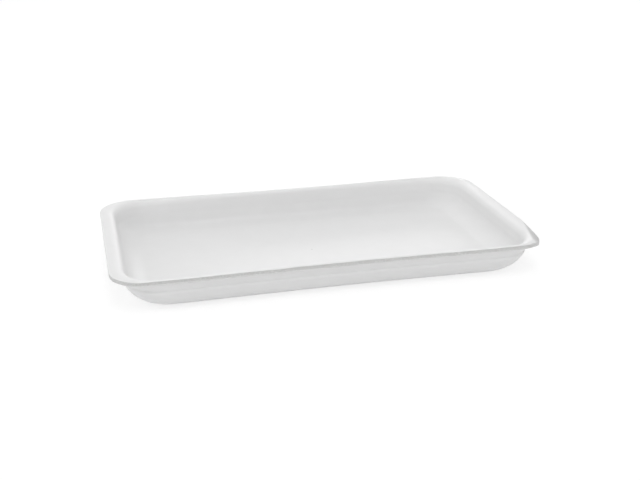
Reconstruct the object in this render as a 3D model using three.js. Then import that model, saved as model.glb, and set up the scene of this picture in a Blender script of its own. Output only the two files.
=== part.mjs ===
import * as THREE from 'three';

// Foam meat tray, thermoformed in one piece from expanded polystyrene sheet.
// Millimetres, +Z up, X along the length. The origin is the middle of the underside.

// Overall size: the die-cut outline, and the height from the underside to the crest of the rim
const TRAY_LENGTH = 375;
const TRAY_WIDTH = 203;
const TRAY_HEIGHT = 31;
const TRIM_CORNER_RADIUS = 28.5;

// The formed sheet
const FOAM_THICKNESS = 3.5;

// Rim: a flange runs from the crest of the wall out to the cut edge, wide at the ends
const END_FLANGE_WIDTH = 9.6;
const SIDE_FLANGE_WIDTH = 1.6;
const CREST_CORNER_RADIUS = 31;
const CREST_ROUNDING = 4;
const FLANGE_ROOT_RADIUS = 1.2;

// The flange rolls over towards its cut edge, where the die presses the sheet as it cuts
const EDGE_ROLL_WIDTH = 5;
const EDGE_ROLL_DROP = 0.8;
const CUT_EDGE_HEIGHT = 3.4;

// Wall: a steep upper band down to a shallow ridge, then a softer slope into the base
const RIDGE_DROP = 13.5;
const UPPER_WALL_SLOPE = THREE.MathUtils.degToRad(80);
const LOWER_WALL_SLOPE = THREE.MathUtils.degToRad(66);
const FLOOR_FILLET_RADIUS = 18;
const FLOOR_CORNER_RADIUS = 20;

// The long sides draw in a little at mid-length, as the sheet does when it cools
const SIDE_BOW = 2.2;

// Fineness of the curved stretches
const CORNER_STEPS = 12;
const LONG_SIDE_STEPS = 12;
const END_STEPS = 4;
const FILLET_STEPS = 8;
const CREST_STEPS = 5;
const ROOT_STEPS = 4;
const UPPER_FLANGE_FRACTIONS = [0.3, 0.5, 0.65, 0.8, 0.9, 1];
const LOWER_FLANGE_FRACTIONS = [1, 0.85, 0.65, 0.4];

// Sizes that follow from the ones above
const CREST_HALF_LENGTH = TRAY_LENGTH / 2 - END_FLANGE_WIDTH;
const CREST_HALF_WIDTH = TRAY_WIDTH / 2 - SIDE_FLANGE_WIDTH;
const INNER_DEPTH = TRAY_HEIGHT - FOAM_THICKNESS;

// How far a long side is drawn in at this place along the tray: most in the middle, and easing
// to nothing where the corner begins
function sideDrawIn(x) {
  const alongSide = Math.min(1, Math.abs(x) / (TRAY_LENGTH / 2 - TRIM_CORNER_RADIUS));
  return SIDE_BOW * (1 - alongSide * alongSide) ** 2;
}

// A closed plan outline, counter-clockwise from the +X end: four corner arcs joined by sides
function planRing(halfLength, halfWidth, cornerRadius, z) {
  const ring = [];
  const addPoint = (x, y) => {
    ring.push(new THREE.Vector3(x, y - sideDrawIn(x) * (y / halfWidth), z));
  };
  const centreX = halfLength - cornerRadius;
  const centreY = halfWidth - cornerRadius;
  const corners = [
    { signX: 1, signY: 1, sideSteps: LONG_SIDE_STEPS },
    { signX: -1, signY: 1, sideSteps: END_STEPS },
    { signX: -1, signY: -1, sideSteps: LONG_SIDE_STEPS },
    { signX: 1, signY: -1, sideSteps: END_STEPS },
  ];
  corners.forEach(({ signX, signY, sideSteps }, index) => {
    const startAngle = (index * Math.PI) / 2;
    for (let step = 0; step <= CORNER_STEPS; step += 1) {
      const angle = startAngle + ((step / CORNER_STEPS) * Math.PI) / 2;
      addPoint(
        signX * centreX + cornerRadius * Math.cos(angle),
        signY * centreY + cornerRadius * Math.sin(angle),
      );
    }
    const next = corners[(index + 1) % corners.length];
    const endAngle = startAngle + Math.PI / 2;
    for (let step = 1; step < sideSteps; step += 1) {
      const t = step / sideSteps;
      addPoint(
        THREE.MathUtils.lerp(signX, next.signX, t) * centreX + cornerRadius * Math.cos(endAngle),
        THREE.MathUtils.lerp(signY, next.signY, t) * centreY + cornerRadius * Math.sin(endAngle),
      );
    }
  });
  return ring;
}

// The inner skin's section from the crest to the floor, as stations of inset from the crest
// line and drop below it. slope is the skin's angle there, from flat to upright.
function innerSection() {
  const stations = [];
  for (let step = 0; step <= CREST_STEPS; step += 1) {
    const slope = UPPER_WALL_SLOPE * (step / CREST_STEPS);
    stations.push({
      inset: CREST_ROUNDING * Math.sin(slope),
      drop: CREST_ROUNDING * (1 - Math.cos(slope)),
      slope,
    });
  }
  const crestEnd = stations[stations.length - 1];
  const ridgeInset = crestEnd.inset + (RIDGE_DROP - crestEnd.drop) / Math.tan(UPPER_WALL_SLOPE);
  stations.push({
    inset: ridgeInset,
    drop: RIDGE_DROP,
    slope: (UPPER_WALL_SLOPE + LOWER_WALL_SLOPE) / 2,
  });

  const filletDrop = FLOOR_FILLET_RADIUS * (1 - Math.cos(LOWER_WALL_SLOPE));
  const filletReach = FLOOR_FILLET_RADIUS * Math.sin(LOWER_WALL_SLOPE);
  const lowerWallDrop = INNER_DEPTH - filletDrop - RIDGE_DROP;
  const floorInset = ridgeInset + lowerWallDrop / Math.tan(LOWER_WALL_SLOPE) + filletReach;
  for (let step = 0; step <= FILLET_STEPS; step += 1) {
    const slope = LOWER_WALL_SLOPE * (1 - step / FILLET_STEPS);
    stations.push({
      inset: floorInset - FLOOR_FILLET_RADIUS * Math.sin(slope),
      drop: INNER_DEPTH - FLOOR_FILLET_RADIUS * (1 - Math.cos(slope)),
      slope,
    });
  }
  return stations;
}

// The outer skin runs one foam thickness outside the inner one
function outerStation({ inset, drop, slope }) {
  return {
    inset: inset - FOAM_THICKNESS * Math.sin(slope),
    drop: drop + FOAM_THICKNESS * Math.cos(slope),
    slope,
  };
}

// The hollow rounding where the underside of the flange turns down into the outer wall
function flangeRoot(wallTop) {
  const { slope } = wallTop;
  const centreDrop = FOAM_THICKNESS + FLANGE_ROOT_RADIUS;
  const pastWall = FLANGE_ROOT_RADIUS - (centreDrop - wallTop.drop) * Math.cos(slope);
  const centreInset = wallTop.inset - pastWall / Math.sin(slope);
  const stations = [];
  for (let step = 0; step <= ROOT_STEPS; step += 1) {
    const angle = slope * (step / ROOT_STEPS);
    stations.push({
      inset: centreInset + FLANGE_ROOT_RADIUS * Math.sin(angle),
      drop: centreDrop - FLANGE_ROOT_RADIUS * Math.cos(angle),
    });
  }
  return stations;
}

const innerStations = innerSection();
const crestRounding = innerStations.slice(0, CREST_STEPS + 1);
const wallAndFloor = innerStations.slice(CREST_STEPS + 1);
const outerRoot = flangeRoot(outerStation(crestRounding[CREST_STEPS]));
const outerWall = wallAndFloor.map(outerStation);
const floorInset = wallAndFloor[wallAndFloor.length - 1].inset;

// A level ring at one station. The corner radius eases from the crest to the floor.
function stationRing({ inset, drop }) {
  const cornerRadius = THREE.MathUtils.lerp(
    CREST_CORNER_RADIUS,
    FLOOR_CORNER_RADIUS,
    inset / floorInset,
  );
  const z = TRAY_HEIGHT - drop;
  return planRing(CREST_HALF_LENGTH - inset, CREST_HALF_WIDTH - inset, cornerRadius, z);
}

// A ring on one skin of the flange, part of the way from startRing out to the cut edge.
// depth is the skin's level below the crest, and rollDrop what it falls by at the edge. Where
// the flange is narrower than the roll, the roll takes up all of it.
function flangeRing(startRing, fraction, depth, rollDrop) {
  const trimRing = planRing(TRAY_LENGTH / 2, TRAY_WIDTH / 2, TRIM_CORNER_RADIUS, TRAY_HEIGHT);
  return trimRing.map((trimPoint, index) => {
    const start = startRing[index];
    const flangeWidth = Math.hypot(trimPoint.x - start.x, trimPoint.y - start.y);
    const rollWidth = Math.min(EDGE_ROLL_WIDTH, flangeWidth);
    const fromEdge = flangeWidth * (1 - fraction);
    const rolled = Math.max(0, 1 - fromEdge / rollWidth);
    return new THREE.Vector3(
      THREE.MathUtils.lerp(start.x, trimPoint.x, fraction),
      THREE.MathUtils.lerp(start.y, trimPoint.y, fraction),
      TRAY_HEIGHT - depth - rollDrop * rolled * rolled,
    );
  });
}

// Every ring of the shell in order: from the floor up the inside, over the rim, down the outside
function shellRings() {
  const inside = [...wallAndFloor].reverse().map(stationRing);
  const crest = [...crestRounding].reverse().map(stationRing);
  const crestRing = crest[crest.length - 1];
  const upperFlange = UPPER_FLANGE_FRACTIONS.map((fraction) => (
    flangeRing(crestRing, fraction, 0, EDGE_ROLL_DROP)
  ));
  const root = outerRoot.map(stationRing);
  const lowerRoll = EDGE_ROLL_DROP + CUT_EDGE_HEIGHT - FOAM_THICKNESS;
  const lowerFlange = LOWER_FLANGE_FRACTIONS.map((fraction) => (
    flangeRing(root[0], fraction, FOAM_THICKNESS, lowerRoll)
  ));
  const outside = outerWall.map(stationRing);
  return [...inside, ...crest, ...upperFlange, ...lowerFlange, ...root, ...outside];
}

// Skins the rings in order and closes the first and last with flat faces
function closedShell(rings) {
  const count = rings[0].length;
  const positions = [];
  rings.flat().forEach((point) => positions.push(point.x, point.y, point.z));
  const indices = [];
  for (let level = 0; level < rings.length - 1; level += 1) {
    for (let side = 0; side < count; side += 1) {
      const next = (side + 1) % count;
      const a = level * count + side;
      const b = level * count + next;
      const c = (level + 1) * count + next;
      const d = (level + 1) * count + side;
      indices.push(a, d, c, a, c, b);
    }
  }
  const first = 0;
  const last = (rings.length - 1) * count;
  const floorCentre = rings.length * count;
  const baseCentre = floorCentre + 1;
  positions.push(0, 0, rings[0][0].z);
  positions.push(0, 0, rings[rings.length - 1][0].z);
  for (let side = 0; side < count; side += 1) {
    const next = (side + 1) % count;
    indices.push(floorCentre, first + side, first + next);
    indices.push(baseCentre, last + next, last + side);
  }
  const geometry = new THREE.BufferGeometry();
  geometry.setAttribute('position', new THREE.Float32BufferAttribute(positions, 3));
  geometry.setIndex(indices);
  geometry.computeVertexNormals();
  return geometry;
}

// White expanded polystyrene: a closed-cell skin with a soft, even sheen
const foam = new THREE.MeshStandardMaterial({
  name: 'white_polystyrene_foam',
  color: 0xf2f2f0,
  roughness: 0.55,
  metalness: 0,
});

const tray = new THREE.Mesh(closedShell(shellRings()), foam);
tray.name = 'tray';

const foamMeatTray = new THREE.Group();
foamMeatTray.name = 'foam_meat_tray';
foamMeatTray.add(tray);

export default foamMeatTray;
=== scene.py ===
import math

import bmesh
import bpy
import numpy as np
from bpy.props import FloatProperty, FloatVectorProperty, IntProperty, PointerProperty
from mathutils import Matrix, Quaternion, Vector


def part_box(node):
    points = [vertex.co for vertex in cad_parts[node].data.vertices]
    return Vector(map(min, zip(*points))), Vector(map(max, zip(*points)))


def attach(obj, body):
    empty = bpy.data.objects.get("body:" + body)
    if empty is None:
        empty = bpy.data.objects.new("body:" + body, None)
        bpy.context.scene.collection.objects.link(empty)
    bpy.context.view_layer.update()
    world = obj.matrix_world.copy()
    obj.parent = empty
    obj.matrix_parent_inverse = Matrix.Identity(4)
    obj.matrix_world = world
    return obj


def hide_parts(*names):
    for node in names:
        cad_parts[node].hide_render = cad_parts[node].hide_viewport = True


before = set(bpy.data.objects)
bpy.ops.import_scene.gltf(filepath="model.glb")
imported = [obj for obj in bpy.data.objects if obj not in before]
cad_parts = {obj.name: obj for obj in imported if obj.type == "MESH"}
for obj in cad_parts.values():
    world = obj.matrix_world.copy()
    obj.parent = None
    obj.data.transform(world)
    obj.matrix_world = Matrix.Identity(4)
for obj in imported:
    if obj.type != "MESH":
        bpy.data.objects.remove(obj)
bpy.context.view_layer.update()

bl_info = {
    "name": "Foam Meat Tray",
    "version": (1, 0, 0),
    "blender": (4, 5, 0),
    "location": "View3D > Sidebar > Meat Tray",
    "description": "Forms a thermoformed foam meat tray and the plain studio it stands in",
    "category": "Add Mesh",
}

MM = 0.001
TRAY_LOW, TRAY_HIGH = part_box("tray")
TRAY_SIZE = TRAY_HIGH - TRAY_LOW

# Mesh steps along each stretch of the section. The plain fillet at the ends has as many as the
# heel, bevel and blend on the long sides have together, so that the two sections pair up.
CREST_STEPS = 9
UPPER_WALL_STEPS = 6
LOWER_WALL_STEPS = 5
HEEL_STEPS = 9
BEVEL_STEPS = 2
BLEND_STEPS = 7
FILLET_STEPS = HEEL_STEPS + BEVEL_STEPS + BLEND_STEPS
OUTER_UPPER_WALL_STEPS = 20
OUTER_LOWER_WALL_STEPS = 8
OUTER_FILLET_STEPS = 16
ROOT_STEPS = 8
FLOOR_STEPS = 16
BASE_STEPS = 10

# Rings on the two skins of the flange, as shares of the way out to the cut edge
UPPER_FLANGE_SHARES = (0.1, 0.2, 0.3, 0.4, 0.5, 0.6, 0.7, 0.78, 0.84, 0.9, 0.95, 0.985)
LOWER_FLANGE_SHARES = (0.985, 0.95, 0.9, 0.8, 0.6, 0.3)

# The die leaves the cut edge slightly uneven, in shallow waves: how many go round the tray,
# how large they are beside the first, and where they start (radians)
EDGE_WAVES = ((23, 1, 0.6), (41, 0.6, 2.1))

# The flange corner at +X, -Y is bent down along a straight fold from the end to the side. The
# flap beyond the fold droops with a power of the distance from it, and the bend draws it in by
# a share of that distance.
FOLD_AT_END = np.array([187.5, -40]) * MM
FOLD_AT_SIDE = np.array([172, -98]) * MM
FOLD = FOLD_AT_SIDE - FOLD_AT_END
OUT_FROM_FOLD = np.array([-FOLD[1], FOLD[0]]) / np.hypot(*FOLD)
FLAP_REACH = 9.3 * MM
FLAP_CURL = 1.5
FLAP_DRAWN_IN = 0.1

# Painted shade darkens the foam along the fold and over the flap, fading towards the long
# side, and a little along the cut edge of that end
CREASE_WIDTH = 1.5 * MM
SHADE_AT_CREASE, SHADE_OVER_FLAP = 0.6, 0.4
SHADE_FADES_FROM_Y = -88 * MM
SHADE_FADE_LENGTH = 9 * MM
# Painted shade along the cut edge of the +X end, where the rolled flange falls away from the
# light
SHADED_EDGE_FROM_X = 150 * MM
SHADED_EDGE_TO_Y = 75 * MM
SHADED_EDGE_WIDTH = 1.2 * MM
SHADED_EDGE_DARKENING = 0.5

# Centres of the dark specks on the tray's inside, and their size
SPECK_PLACES = (Vector((-39.2, 83.7, 4)) * MM, Vector((-1.4, -0.5, 3.5)) * MM,
                Vector((163.7, 11.5, 4)) * MM)
SPECK_RADIUS = 0.7 * MM

# The softboxes' places and sizes in metres. Each is turned towards the tray.
SOFTBOXES = {
    "overhead": ((0, -0.76, 1.63), (0.8, 0.8)),
    "back": ((0, 1.16, 1.38), (1.2, 1.2)),
    "low_back": ((0.71, 2.19, 0.66), (0.9, 0.42)),
    "left": ((-1.56, 0, 0.9), (1.2, 1.2)),
    "front": ((0, -1.8, 0.14), (1.6, 0.24)),
}
FLOOR_HALF_SIZE = 6.0

# How bright the bare floor is from the lamps' light alone, where 1 is full white
LIT_FLOOR_LEVEL = 0.8

# The photograph's frame, and the camera that the tray's edges in it give, in metres
FRAME_WIDTH_PX = 640
FOCAL_LENGTH_PX = 961
CAMERA_AZIMUTH = math.radians(-14.62)
CAMERA_ELEVATION = math.radians(21.28)
CAMERA_ROLL = math.radians(0.18)
CAMERA_DISTANCE = 0.835
CAMERA_TARGET = Vector((-0.00571, -0.04646, 0.0305))


def linear(hex_colour):
    """An sRGB hex colour such as F2F2F0 as linear red, green and blue."""
    channels = [int(hex_colour[i:i + 2], 16) / 255 for i in (0, 2, 4)]
    return tuple(c / 12.92 if c <= 0.04045 else ((c + 0.055) / 1.055) ** 2.4 for c in channels)


def length_property(name, description, millimetres):
    """A size in metres whose default is given in millimetres."""
    return FloatProperty(
        name=name, description=description, default=millimetres * MM, unit="LENGTH", precision=5
    )


def angle_property(name, description, degrees):
    """An angle whose default is given in degrees."""
    return FloatProperty(
        name=name, description=description, default=math.radians(degrees), subtype="ANGLE"
    )


def colour_property(name, description, hex_colour):
    """A surface colour whose default is an sRGB hex value."""
    return FloatVectorProperty(
        name=name, description=description, default=linear(hex_colour), subtype="COLOR",
        min=0, max=1,
    )


class TraySizes(bpy.types.PropertyGroup):
    """The formed sheet's sizes. The overall ones come from the frame."""

    length: FloatProperty(name="Length", description="Cut outline, end to end",
                          default=TRAY_SIZE.x, unit="LENGTH")
    width: FloatProperty(name="Width", description="Cut outline, side to side",
                         default=TRAY_SIZE.y, unit="LENGTH")
    height: FloatProperty(name="Height", description="Underside to crest of the rim",
                          default=TRAY_SIZE.z, unit="LENGTH")
    thickness: length_property("Foam thickness", "Thickness of the formed sheet", 3.5)

    trim_corner: length_property("Cut corner", "Corner radius of the cut outline", 28.5)
    crest_corner: length_property("Crest corner", "Corner radius of the crest line", 31)
    floor_corner: length_property("Floor corner", "Corner radius of the flat floor", 20)
    side_bow: length_property("Side bow", "How far each long side draws in", 2.2)
    end_lean: length_property("End lean", "How far each end leans in by the base", 2.2)

    end_flange: length_property("End flange", "Crest to cut edge at the short ends", 9.6)
    side_flange: length_property("Side flange", "Crest to cut edge on the long sides", 1.6)
    arch_radius: length_property("Arch radius", "Radius of the arched end flange", 13)
    root_radius: length_property("Flange root", "Hollow rounding under the flange", 1.2)
    roll_width: length_property("Roll width", "How far in the rolled edge reaches", 5)
    roll_drop: length_property("Roll drop", "How far the rolled edge falls", 0.8)
    edge_height: length_property("Edge height", "Height of the cut edge", 3.4)
    edge_softness: length_property("Edge softness", "Rounding along the cut edge", 0.3)
    edge_wave: length_property("Edge wave", "Unevenness of the trimmed edge", 0.3)
    flap_drop: length_property("Bent corner", "How far the bent flange corner hangs down", 3.2)

    crest_rounding: length_property("Crest rounding", "Rounding from flange into inner wall", 4)
    upper_slope: angle_property("Upper wall", "Slope of the wall above the ridge", 80)
    ridge_drop: length_property("Ridge drop", "Crest down to the ridge in the wall", 13.5)
    lower_slope: angle_property("Lower wall", "Slope of the wall below the ridge", 66)
    floor_fillet: length_property("Floor fillet", "Rounding from wall to floor at the ends", 18)
    heel_radius: length_property("Heel radius", "Inner rounding at the foot of a long wall", 8)
    bevel_slope: angle_property("Bevel slope", "Slope of the bevel beside the floor", 16)
    bevel_blend: length_property("Bevel blend", "Rounding from the bevel into the floor", 25)
    ledge_drop: length_property("Ledge drop", "Crest down to the ridge's ledge outside", 11.9)
    ledge_depth: length_property("Ledge depth", "Depth of the hollow above the ledge", 0.6)
    ledge_height: length_property("Ledge height", "Height over which the ledge stands out", 1.2)
    hollow_height: length_property("Hollow height", "Height over which the hollow deepens", 5)

    corner_steps: IntProperty(name="Corner steps", description="Mesh steps round a corner",
                              default=44, min=4)
    mesh_pitch: length_property("Mesh pitch", "Mesh step along the straight sides", 2.2)


class FoamFinish(bpy.types.PropertyGroup):
    """Colours and grain of the foam."""

    skin: colour_property("Skin", "The foam's smooth skin", "E9E9E9")
    skin_shade: colour_property("Skin shade", "The skin over thinner cells", "E5E5E5")
    # Painted shade: this grey darkens the bent corner's fold and flap and the +X end's edge
    shade_grey: colour_property("Crushed", "The skin where the cells are crushed flat", "B9B9B9")
    cut: colour_property("Cut edge", "Open cells along the cut edge", "D9D9D8")
    pore: colour_property("Pores", "The hollows of the open cells", "BBBBBA")
    speck: colour_property("Speck", "Small dark specks in the sheet", "8C8C8A")
    cell: length_property("Cell size", "Width of one foam cell under the skin", 0.9)
    mottle: length_property("Mottle size", "Width of the soft patches in the skin", 14)
    depth: length_property("Light depth", "How far light spreads within the foam", 2)


class StudioSettings(bpy.types.PropertyGroup):
    """The plain stage round the tray. Softboxes are in watts."""

    floor: colour_property("Floor", "Pale floor", "FFFFFF")
    shadow_share: FloatProperty(name="Shadow share", default=0.3, min=0, max=1,
                                description="How much of the floor's shading the camera sees")
    sky: FloatProperty(name="Sky", description="Even light from all round", default=0.60)
    overhead: FloatProperty(name="Overhead", default=6.3,
                            description="Softbox high on the camera's side")
    back: FloatProperty(name="Back", default=3.9, description="Softbox high on the far side")
    low_back: FloatProperty(name="Low back", default=4.4,
                            description="Low softbox whose sheen shows on the crest")
    left: FloatProperty(name="Left", default=3.8, description="Softbox on the left")
    front: FloatProperty(name="Front", default=2.6, description="Low strip in front")


# The section: stations of inset from the crest line, drop below the crest, and the skin's slope


def smooth_step(value):
    """0 up to 0, 1 from 1 on, and an even ease between them."""
    t = np.clip(value, 0, 1)
    return t * t * (3 - 2 * t)


def add_arc(stations, radius, end_slope, steps):
    """Carries a section on round an arc until the skin has a new slope."""
    inset, drop, slope = stations[-1]
    for step in range(1, steps + 1):
        angle = slope + (end_slope - slope) * step / steps
        stations.append((inset + radius * abs(math.sin(angle) - math.sin(slope)),
                         drop + radius * abs(math.cos(angle) - math.cos(slope)), angle))


def add_straight(stations, length, slope, steps):
    """Carries a section on in a straight line."""
    inset, drop, _ = stations[-1]
    for step in range(1, steps + 1):
        along = length * step / steps
        stations.append((inset + along * math.cos(slope), drop + along * math.sin(slope), slope))


def crest_section(sizes):
    """The rounding from the flange into the inner wall."""
    stations = [(0, 0, 0)]
    add_arc(stations, sizes.crest_rounding, sizes.upper_slope, CREST_STEPS)
    return stations


def wall_to_ridge(sizes, steps):
    """The steep upper wall, from the end of the crest's rounding to the ridge."""
    stations = [crest_section(sizes)[-1]]
    length = (sizes.ridge_drop - stations[0][1]) / math.sin(sizes.upper_slope)
    add_straight(stations, length, sizes.upper_slope, steps)
    return stations


def lower_wall_drop(sizes):
    """How far the wall falls from the ridge to the start of the plain fillet."""
    fillet_drop = sizes.floor_fillet * (1 - math.cos(sizes.lower_slope))
    return sizes.height - sizes.thickness - sizes.ridge_drop - fillet_drop


def floor_inset(sizes):
    """How far the flat floor's border lies inside the crest line."""
    crest_inset, crest_drop, _ = crest_section(sizes)[-1]
    ridge_inset = crest_inset + (sizes.ridge_drop - crest_drop) / math.tan(sizes.upper_slope)
    return (ridge_inset + lower_wall_drop(sizes) / math.tan(sizes.lower_slope)
            + sizes.floor_fillet * math.sin(sizes.lower_slope))


def filleted_wall(sizes, upper_steps, lower_steps, fillet_steps):
    """The wall below the crest's rounding, with one wide fillet into the floor."""
    stations = wall_to_ridge(sizes, upper_steps)
    lower_length = lower_wall_drop(sizes) / math.sin(sizes.lower_slope)
    add_straight(stations, lower_length, sizes.lower_slope, lower_steps)
    add_arc(stations, sizes.floor_fillet, 0, fillet_steps)
    return stations[1:]


def heeled_wall(sizes):
    """The inner skin below the crest on the long sides. The sheet is thinnest at the heel,
    where it stretches most, so here the wall runs down further and meets a bevel."""
    stations = wall_to_ridge(sizes, UPPER_WALL_STEPS)
    lower, bevel = sizes.lower_slope, sizes.bevel_slope
    heel = [(0, 0, lower)]
    add_arc(heel, sizes.heel_radius, bevel, HEEL_STEPS)
    blend = [(0, 0, bevel)]
    add_arc(blend, sizes.bevel_blend, 0, BLEND_STEPS)
    inset_left = floor_inset(sizes) - stations[-1][0] - heel[-1][0] - blend[-1][0]
    drop_left = (sizes.height - sizes.thickness - sizes.ridge_drop
                 - heel[-1][1] - blend[-1][1])
    across = math.sin(lower - bevel)
    wall_length = (drop_left * math.cos(bevel) - inset_left * math.sin(bevel)) / across
    bevel_length = (inset_left * math.sin(lower) - drop_left * math.cos(lower)) / across
    add_straight(stations, wall_length, lower, LOWER_WALL_STEPS)
    add_arc(stations, sizes.heel_radius, bevel, HEEL_STEPS)
    add_straight(stations, bevel_length, bevel, BEVEL_STEPS)
    add_arc(stations, sizes.bevel_blend, 0, BLEND_STEPS)
    return stations[1:]


def outer_station(sizes, station):
    """The outer skin's station, one foam thickness outside the inner one."""
    inset, drop, slope = station
    return (inset - sizes.thickness * math.sin(slope),
            drop + sizes.thickness * math.cos(slope), slope)


def outer_wall(sizes):
    """The outer skin below the crest, with a slight hollow above the ridge that makes it a
    small ledge."""
    inner = filleted_wall(sizes, OUTER_UPPER_WALL_STEPS, OUTER_LOWER_WALL_STEPS,
                          OUTER_FILLET_STEPS)
    skin = []
    for inset, drop, slope in (outer_station(sizes, station) for station in inner):
        above = (drop - sizes.ledge_drop + sizes.hollow_height) / sizes.hollow_height
        ledge = (drop - sizes.ledge_drop) / sizes.ledge_height
        hollow = sizes.ledge_depth * smooth_step(above) * (1 - smooth_step(ledge))
        skin.append((inset + hollow, drop, slope))
    return skin


def flange_root(sizes, wall_top):
    """The hollow rounding from the underside of the flange into the outer wall."""
    inset, drop, slope = wall_top
    centre_drop = sizes.thickness + sizes.root_radius
    past_wall = sizes.root_radius - (centre_drop - drop) * math.cos(slope)
    centre_inset = inset - past_wall / math.sin(slope)
    angles = [slope * step / ROOT_STEPS for step in range(ROOT_STEPS + 1)]
    return [(centre_inset + sizes.root_radius * math.sin(angle),
             centre_drop - sizes.root_radius * math.cos(angle), 0) for angle in angles]


# The plan: closed rings of points round the tray, as rows of x, y, z


def plan_ring(sizes, half_length, half_width, corner_radius, z):
    """A rounded rectangle with slightly bowed long sides, counter-clockwise from the +X end."""
    centre = np.array([half_length - corner_radius, half_width - corner_radius])
    signs = [(1, 1), (-1, 1), (-1, -1), (1, -1)]
    long_steps = round((sizes.length - 2 * sizes.trim_corner) / sizes.mesh_pitch)
    end_steps = round((sizes.width - 2 * sizes.trim_corner) / sizes.mesh_pitch)
    points = []
    for index, sign in enumerate(signs):
        start = index * math.pi / 2
        for step in range(sizes.corner_steps + 1):
            angle = start + step / sizes.corner_steps * math.pi / 2
            from_centre = corner_radius * np.array([math.cos(angle), math.sin(angle)])
            points.append(np.array(sign) * centre + from_centre)
        following = signs[(index + 1) % len(signs)]
        side_steps = long_steps if index % 2 == 0 else end_steps
        for step in range(1, side_steps):
            t = step / side_steps
            middle = (1 - t) * np.array(sign) + t * np.array(following)
            points.append(middle * centre + from_centre)
    ring = np.column_stack([np.array(points), np.full(len(points), z)])
    along = np.minimum(1, np.abs(ring[:, 0]) / (sizes.length / 2 - sizes.trim_corner))
    ring[:, 1] -= sizes.side_bow * (1 - along ** 2) ** 2 * ring[:, 1] / half_width
    return ring


def trim_ring(sizes):
    """The cut outline, at the level of the crest."""
    return plan_ring(sizes, sizes.length / 2, sizes.width / 2, sizes.trim_corner, sizes.height)


def station_ring(sizes, station):
    """A level ring at one station of the wall, its corner radius easing from crest to floor."""
    inset, drop, _ = station
    towards_floor = inset / floor_inset(sizes)
    radius = sizes.crest_corner + (sizes.floor_corner - sizes.crest_corner) * towards_floor
    lean = sizes.end_lean * smooth_step((drop - sizes.ridge_drop)
                                        / (sizes.height - sizes.ridge_drop))
    return plan_ring(sizes, sizes.length / 2 - sizes.end_flange - inset - lean,
                     sizes.width / 2 - sizes.side_flange - inset, radius, sizes.height - drop)


def plan_distances(from_ring, to_ring):
    """How far apart two rings are at each point, seen from above."""
    return np.hypot(*(to_ring - from_ring)[:, :2].T)


def arch_drop(sizes, widths, outwards):
    """How far the arched flange lies below its crown, outwards being measured from the crest
    line. The long sides are too narrow to arch."""
    share = np.clip((widths - sizes.side_flange) / (sizes.end_flange - sizes.side_flange), 0, 1)
    inside_crown = np.maximum(0, widths / 2 - outwards)
    return share * inside_crown ** 2 / (2 * sizes.arch_radius)


def inner_ring(sizes, station, widths):
    """A ring of the inner skin, let down by the arch of the flange above it."""
    inset, drop, _ = station
    ring = station_ring(sizes, station)
    crest_end = crest_section(sizes)[-1][1]
    fade = 1 - smooth_step((drop - crest_end) / (sizes.ridge_drop - crest_end))
    ring[:, 2] -= fade * arch_drop(sizes, widths, -min(inset, sizes.crest_rounding))
    return ring


def inner_wall_rings(sizes, widths):
    """The inner skin's rings below the crest, heeled on the long sides and plain at the ends.
    Round each corner one section eases into the other."""
    trim = trim_ring(sizes)
    past_end = np.maximum(1e-9, np.abs(trim[:, 0]) - sizes.length / 2 + sizes.trim_corner)
    past_side = np.maximum(0, np.abs(trim[:, 1]) - sizes.width / 2 + sizes.trim_corner)
    heeled = smooth_step(past_side / (past_side + past_end))[:, None]
    plain_wall = filleted_wall(sizes, UPPER_WALL_STEPS, LOWER_WALL_STEPS, FILLET_STEPS)
    return [inner_ring(sizes, plain, widths) * (1 - heeled)
            + inner_ring(sizes, heel, widths) * heeled
            for plain, heel in zip(plain_wall, heeled_wall(sizes))]


def flange_ring(sizes, start, trim, share, depth, roll_drop):
    """A ring on one skin of the flange, part of the way from start out to the cut edge."""
    ring = start + (trim - start) * share
    flange_width = plan_distances(start, trim)
    from_edge = flange_width * (1 - share)
    rolled = np.maximum(0, 1 - from_edge / np.minimum(sizes.roll_width, flange_width))
    ring[:, 2] = sizes.height - depth - roll_drop * rolled ** 2
    return ring


def beyond_fold(ring):
    """How far each point lies outside the fold line of the bent corner."""
    return np.maximum(0, (ring[:, :2] - FOLD_AT_END) @ OUT_FROM_FOLD)


def wear(sizes, ring, share):
    """Leaves the marks of die and hand on a flange ring: the uneven edge and the bent corner."""
    around = np.arctan2(ring[:, 1] / sizes.width, ring[:, 0] / sizes.length)
    highest = sum(size for _, size, _ in EDGE_WAVES)
    wave = sum(size * np.sin(count * around + start) for count, size, start in EDGE_WAVES)
    ring[:, 2] -= sizes.edge_wave * share ** 2 * (wave + highest) / (2 * highest)
    beyond = beyond_fold(ring)
    ring[:, 2] -= sizes.flap_drop * (beyond / FLAP_REACH) ** FLAP_CURL
    ring[:, :2] -= np.outer(FLAP_DRAWN_IN * beyond, OUT_FROM_FOLD)
    return ring


def painted_shade_round(ring, from_edge):
    """How much painted shade darkens each point of a flange ring, from 0 to 1."""
    beyond = beyond_fold(ring)
    # Painted shade along the fold's crease and over the bent flap
    flap = (SHADE_AT_CREASE * smooth_step(beyond / CREASE_WIDTH)
            + SHADE_OVER_FLAP * smooth_step(beyond / FLAP_REACH))
    flap *= 1 - smooth_step((SHADE_FADES_FROM_Y - ring[:, 1]) / SHADE_FADE_LENGTH)
    # Painted shade beside the cut edge of the +X end
    shaded_end = (ring[:, 0] > SHADED_EDGE_FROM_X) & (ring[:, 1] < SHADED_EDGE_TO_Y)
    shaded = SHADED_EDGE_DARKENING * shaded_end * (1 - smooth_step(from_edge / SHADED_EDGE_WIDTH))
    return np.maximum(flap, shaded)


def flat_rings(edge_ring, steps):
    """Rings that shrink from the edge of a flat face to its middle."""
    middle = np.array([0, 0, edge_ring[0, 2]])
    return [middle + (edge_ring - middle) * (1 - step / steps) for step in range(1, steps)]


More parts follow.
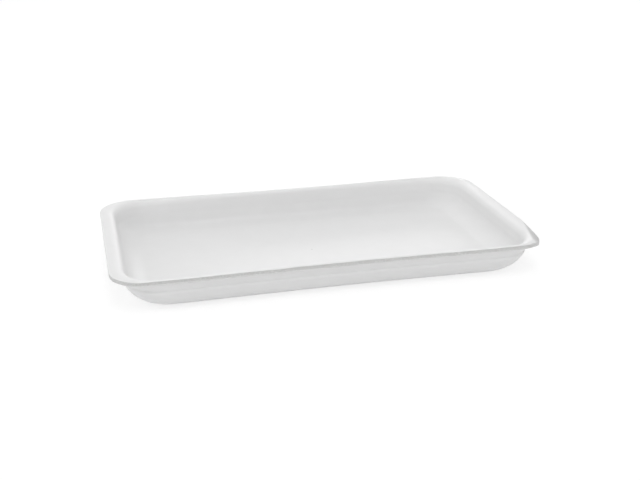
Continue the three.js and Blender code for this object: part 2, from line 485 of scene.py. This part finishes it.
def shell_rings(sizes):
    """All rings from the middle of the floor up, over the rim and down to the middle of the
    base, the levels of the cut edge, and how much painted shade darkens each point."""
    trim = trim_ring(sizes)
    crest = crest_section(sizes)
    crest_line = station_ring(sizes, crest[0])
    widths = plan_distances(crest_line, trim)

    inside = [inner_ring(sizes, station, widths) for station in crest]
    inside += inner_wall_rings(sizes, widths)
    inside.reverse()
    floor = flat_rings(inside[0], FLOOR_STEPS)[::-1]

    upper, upper_painted_shade = [], []
    for share in UPPER_FLANGE_SHARES:
        ring = flange_ring(sizes, crest_line, trim, share, 0, sizes.roll_drop)
        ring[:, 2] -= arch_drop(sizes, widths, widths * share)
        upper_painted_shade.append(painted_shade_round(ring, widths * (1 - share)))
        upper.append(wear(sizes, ring, share))

    edge_low = sizes.roll_drop + sizes.edge_height
    edge = []
    for drop in (sizes.roll_drop + sizes.edge_softness, sizes.roll_drop + sizes.edge_height / 2,
                 edge_low - sizes.edge_softness):
        ring = trim.copy()
        ring[:, 2] = sizes.height - drop
        edge.append(wear(sizes, ring, 1))

    wall_top = outer_station(sizes, crest[-1])
    root = [station_ring(sizes, station) for station in flange_root(sizes, wall_top)]
    lower = [wear(sizes, flange_ring(sizes, root[0], trim, share, sizes.thickness,
                                     edge_low - sizes.thickness), share)
             for share in LOWER_FLANGE_SHARES]
    outside = [station_ring(sizes, station) for station in outer_wall(sizes)]
    base = flat_rings(outside[-1], BASE_STEPS)

    before = floor + inside
    after = edge + lower + root + outside + base
    unshaded = np.zeros(len(trim))
    crush = [unshaded] * len(before) + upper_painted_shade + [unshaded] * len(after)
    edge_start = len(before) + len(upper) - 1
    return before + upper + after, range(edge_start, edge_start + len(edge) + 1), crush


def skin_rings(name, rings, edge_levels, crush):
    """A closed mesh through the rings, with the cut edge's faces in a second slot and the
    painted shade as an attribute of its points."""
    count = len(rings[0])
    mesh = bmesh.new()
    painted_shade_layer = mesh.verts.layers.float.new("crush")
    levels = [[mesh.verts.new(point) for point in ring] for ring in rings]
    for level, amounts in zip(levels, crush):
        for vertex, amount in zip(level, amounts):
            vertex[painted_shade_layer] = amount
    for level in range(len(rings) - 1):
        low, high = levels[level], levels[level + 1]
        for side in range(count):
            following = (side + 1) % count
            face = mesh.faces.new((low[side], high[side], high[following], low[following]))
            face.smooth = True
            face.material_index = 1 if level in edge_levels else 0
    top = mesh.verts.new(np.mean(rings[0], axis=0))
    under = mesh.verts.new(np.mean(rings[-1], axis=0))
    for side in range(count):
        following = (side + 1) % count
        mesh.faces.new((top, levels[0][side], levels[0][following])).smooth = True
        mesh.faces.new((under, levels[-1][following], levels[-1][side])).smooth = True
    data = bpy.data.meshes.new(name)
    mesh.to_mesh(data)
    mesh.free()
    piece = bpy.data.objects.new(name, data)
    bpy.context.scene.collection.objects.link(piece)
    return piece


# Materials


def new_material(name):
    """An empty node material, its nodes and its output."""
    material = bpy.data.materials.new(name)
    material.use_nodes = True
    material.node_tree.nodes.clear()
    output = material.node_tree.nodes.new("ShaderNodeOutputMaterial")
    return material, material.node_tree, output


def add_node(tree, kind, settings=None, inputs=None, links=None):
    """Adds a node with its settings, its socket values and its incoming links."""
    node = tree.nodes.new(kind)
    for key, value in (settings or {}).items():
        setattr(node, key, value)
    for key, value in (inputs or {}).items():
        node.inputs[key].default_value = value
    for key, source in (links or {}).items():
        tree.links.new(source, node.inputs[key])
    return node


def foam_cells(tree, finish):
    """Object place, and the foam's cells in the sheet: each about 0.9 mm wide."""
    place = add_node(tree, "ShaderNodeTexCoord").outputs["Object"]
    cells = add_node(tree, "ShaderNodeTexVoronoi",
                     inputs={"Scale": 1 / finish.cell}, links={"Vector": place})
    return place, cells.outputs["Distance"]


def foam_shader(tree, finish, roughness, colour, normal):
    """Polystyrene foam scatters light among its cells, so its shading is soft and chalky."""
    return add_node(tree, "ShaderNodeBsdfPrincipled",
                    inputs={"Roughness": roughness, "IOR": 1.5, "Subsurface Weight": 1,
                            "Subsurface Radius": (1, 1, 1), "Subsurface Scale": finish.depth},
                    links={"Base Color": colour, "Normal": normal})


def speck_mask(tree, place):
    """1 within a speck of scorched resin in the sheet, else 0."""
    shown = None
    for centre in SPECK_PLACES:
        away = add_node(tree, "ShaderNodeVectorMath", {"operation": "DISTANCE"},
                        {1: centre}, {0: place}).outputs["Value"]
        spot = add_node(tree, "ShaderNodeMapRange", {"interpolation_type": "SMOOTHSTEP"},
                        {"From Min": SPECK_RADIUS, "From Max": SPECK_RADIUS / 3},
                        {"Value": away}).outputs["Result"]
        shown = spot if shown is None else add_node(
            tree, "ShaderNodeMath", {"operation": "MAXIMUM"},
            links={0: shown, 1: spot}).outputs[0]
    return shown


def skinned_foam(finish):
    """Extruded polystyrene foam as it leaves the mould. The sheet's skin is closed where it
    cooled against the rollers and the mould, so it is smooth to the hand with a faint satin
    sheen. The cells just under it show as a fine grain, and uneven stretching as soft mottle.
    Grey is mixed in as painted shade over the bent corner's fold and flap and the +X edge."""
    material, tree, output = new_material("skinned_polystyrene_foam")
    place, cells = foam_cells(tree, finish)
    mottle = add_node(tree, "ShaderNodeTexNoise",
                      inputs={"Scale": 1 / finish.mottle, "Detail": 4, "Roughness": 0.6},
                      links={"Vector": place}).outputs["Fac"]
    tint = add_node(tree, "ShaderNodeMix", {"data_type": "RGBA"},
                    {"A": (*finish.skin, 1), "B": (*finish.skin_shade, 1)},
                    {"Factor": mottle}).outputs["Result"]
    # Painted shade: the attribute mixes grey over the bent corner and along the +X end's edge
    crush = add_node(tree, "ShaderNodeAttribute", {"attribute_name": "crush"}).outputs["Fac"]
    shaded = add_node(tree, "ShaderNodeMix", {"data_type": "RGBA"},
                    {"B": (*finish.shade_grey, 1)}, {"Factor": crush, "A": tint}).outputs["Result"]
    colour = add_node(tree, "ShaderNodeMix", {"data_type": "RGBA"},
                      {"B": (*finish.speck, 1)},
                      {"Factor": speck_mask(tree, place), "A": shaded}).outputs["Result"]
    grain = add_node(tree, "ShaderNodeBump", inputs={"Strength": 0.2, "Distance": 0.05 * MM},
                     links={"Height": cells}).outputs["Normal"]
    shader = foam_shader(tree, finish, 0.45, colour, grain)
    tree.links.new(shader.outputs[0], output.inputs["Surface"])
    return material


def cut_foam(finish):
    """The foam's cut face. The die shears the cells open, so it is rougher than the skin and
    has no sheen, and the hollows of the open cells make it a little darker."""
    material, tree, output = new_material("cut_polystyrene_foam")
    _, cells = foam_cells(tree, finish)
    tint = add_node(tree, "ShaderNodeMix", {"data_type": "RGBA"},
                    {"A": (*finish.pore, 1), "B": (*finish.cut, 1)},
                    {"Factor": cells}).outputs["Result"]
    pits = add_node(tree, "ShaderNodeBump", inputs={"Strength": 0.3, "Distance": 0.2 * MM},
                    links={"Height": cells}).outputs["Normal"]
    shader = foam_shader(tree, finish, 0.85, tint, pits)
    tree.links.new(shader.outputs[0], output.inputs["Surface"])
    return material


def seen_rays(tree):
    """1 for rays that show the backdrop to the eye, straight or in a gloss, else 0."""
    rays = add_node(tree, "ShaderNodeLightPath")
    shown = rays.outputs["Is Camera Ray"]
    for kind in ("Is Glossy Ray", "Is Transmission Ray"):
        shown = add_node(tree, "ShaderNodeMath", {"operation": "MAXIMUM"},
                         links={0: shown, 1: rays.outputs[kind]}).outputs[0]
    return shown


def floor_paint(studio):
    """Matt white emulsion, rolled on a smooth studio floor, so it has no sheen and no texture.
    The eye sees plain white with a faint soft shadow: it gets a share of the floor's shading,
    and the white of the paint for the rest. The tray is lit by the paint alone."""
    material, tree, output = new_material("white_floor_paint")
    paint = add_node(tree, "ShaderNodeBsdfDiffuse", inputs={"Color": (*studio.floor, 1)})
    share = studio.shadow_share
    dimmed = add_node(tree, "ShaderNodeBsdfDiffuse",
                      inputs={"Color": (*(share * c for c in studio.floor), 1)})
    glow = add_node(tree, "ShaderNodeEmission",
                    inputs={"Strength": 1 - share * LIT_FLOOR_LEVEL})
    seen_floor = add_node(tree, "ShaderNodeAddShader",
                          links={0: dimmed.outputs[0], 1: glow.outputs[0]})
    either = add_node(tree, "ShaderNodeMixShader",
                      links={0: seen_rays(tree), 1: paint.outputs[0], 2: seen_floor.outputs[0]})
    tree.links.new(either.outputs[0], output.inputs["Surface"])
    return material


class MEATTRAY_OT_form_tray(bpy.types.Operator):
    """Forms the tray's foam shell over the frame's tray"""

    bl_idname = "meat_tray.form_tray"
    bl_label = "Form Tray"

    def execute(self, context):
        sizes = context.scene.tray_sizes
        finish = context.scene.foam_finish
        rings, edge_levels, crush = shell_rings(sizes)
        piece = skin_rings("foam_tray", rings, edge_levels, crush)
        piece.data.materials.append(skinned_foam(finish))
        piece.data.materials.append(cut_foam(finish))
        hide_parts("tray")
        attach(piece, "root")
        return {"FINISHED"}


class MEATTRAY_OT_set_stage(bpy.types.Operator):
    """Sets the floor, the soft light and the camera"""

    bl_idname = "meat_tray.set_stage"
    bl_label = "Set Stage"

    def execute(self, context):
        scene = context.scene
        scene.view_settings.view_transform = "Standard"
        self.lay_floor(scene, scene.studio_settings)
        self.light(scene, scene.studio_settings)
        self.aim_camera(scene)
        return {"FINISHED"}

    def lay_floor(self, scene, studio):
        """A wide flat floor at the level of the tray's underside."""
        half = FLOOR_HALF_SIZE
        data = bpy.data.meshes.new("studio_floor")
        corners = [(-half, -half, 0), (half, -half, 0), (half, half, 0), (-half, half, 0)]
        data.from_pydata(corners, [], [(0, 1, 2, 3)])
        floor = bpy.data.objects.new("studio_floor", data)
        scene.collection.objects.link(floor)
        data.materials.append(floor_paint(studio))

    def light(self, scene, studio):
        """A white studio that lights the tray evenly, and the softboxes in it."""
        world = bpy.data.worlds.new("studio_white")
        scene.world = world
        world.use_nodes = True
        tree = world.node_tree
        tree.nodes.clear()
        paper = (1, 1, 1, 1)
        glow = add_node(tree, "ShaderNodeBackground",
                        inputs={"Color": paper, "Strength": studio.sky})
        white = add_node(tree, "ShaderNodeBackground", inputs={"Color": paper, "Strength": 1})
        both = add_node(tree, "ShaderNodeMixShader",
                        links={0: seen_rays(tree), 1: glow.outputs[0], 2: white.outputs[0]})
        add_node(tree, "ShaderNodeOutputWorld", links={0: both.outputs[0]})
        for name, (place, size) in SOFTBOXES.items():
            self.hang_softbox(scene, name, place, size, getattr(studio, name))

    def hang_softbox(self, scene, name, place, size, watts):
        """A rectangular softbox turned towards the tray."""
        lamp = bpy.data.lights.new(name + "_softbox", "AREA")
        lamp.shape = "RECTANGLE"
        lamp.size, lamp.size_y = size
        lamp.energy = watts
        holder = bpy.data.objects.new(name + "_softbox", lamp)
        holder.location = place
        holder.rotation_euler = (-Vector(place)).to_track_quat("-Z", "Y").to_euler()
        scene.collection.objects.link(holder)

    def aim_camera(self, scene):
        """The camera that sees the tray as the photograph does."""
        data = bpy.data.cameras.new("camera")
        data.sensor_width = 36
        data.lens = FOCAL_LENGTH_PX * data.sensor_width / FRAME_WIDTH_PX
        camera = bpy.data.objects.new("camera", data)
        back = Vector((math.sin(CAMERA_AZIMUTH) * math.cos(CAMERA_ELEVATION),
                       -math.cos(CAMERA_AZIMUTH) * math.cos(CAMERA_ELEVATION),
                       math.sin(CAMERA_ELEVATION)))
        camera.location = CAMERA_TARGET + back * CAMERA_DISTANCE
        upright = (-back).to_track_quat("-Z", "Y")
        camera.rotation_euler = (upright @ Quaternion((0, 0, 1), CAMERA_ROLL)).to_euler()
        scene.collection.objects.link(camera)
        scene.camera = camera


class MEATTRAY_PT_panel(bpy.types.Panel):
    """Lists the tray's operators and sizes"""

    bl_idname = "MEATTRAY_PT_panel"
    bl_label = "Foam Meat Tray"
    bl_space_type = "VIEW_3D"
    bl_region_type = "UI"
    bl_category = "Meat Tray"

    def draw(self, context):
        column = self.layout.column()
        column.operator(MEATTRAY_OT_form_tray.bl_idname)
        column.operator(MEATTRAY_OT_set_stage.bl_idname)
        for group in (context.scene.tray_sizes, context.scene.foam_finish,
                      context.scene.studio_settings):
            box = self.layout.box()
            for key in group.__annotations__:
                box.prop(group, key)


CLASSES = (TraySizes, FoamFinish, StudioSettings, MEATTRAY_OT_form_tray,
           MEATTRAY_OT_set_stage, MEATTRAY_PT_panel)


def register():
    for cls in CLASSES:
        bpy.utils.register_class(cls)
    bpy.types.Scene.tray_sizes = PointerProperty(type=TraySizes)
    bpy.types.Scene.foam_finish = PointerProperty(type=FoamFinish)
    bpy.types.Scene.studio_settings = PointerProperty(type=StudioSettings)


def unregister():
    del bpy.types.Scene.studio_settings
    del bpy.types.Scene.foam_finish
    del bpy.types.Scene.tray_sizes
    for cls in reversed(CLASSES):
        bpy.utils.unregister_class(cls)


def main():
    register()
    bpy.ops.meat_tray.form_tray()
    bpy.ops.meat_tray.set_stage()


if __name__ == "__main__":
    main()
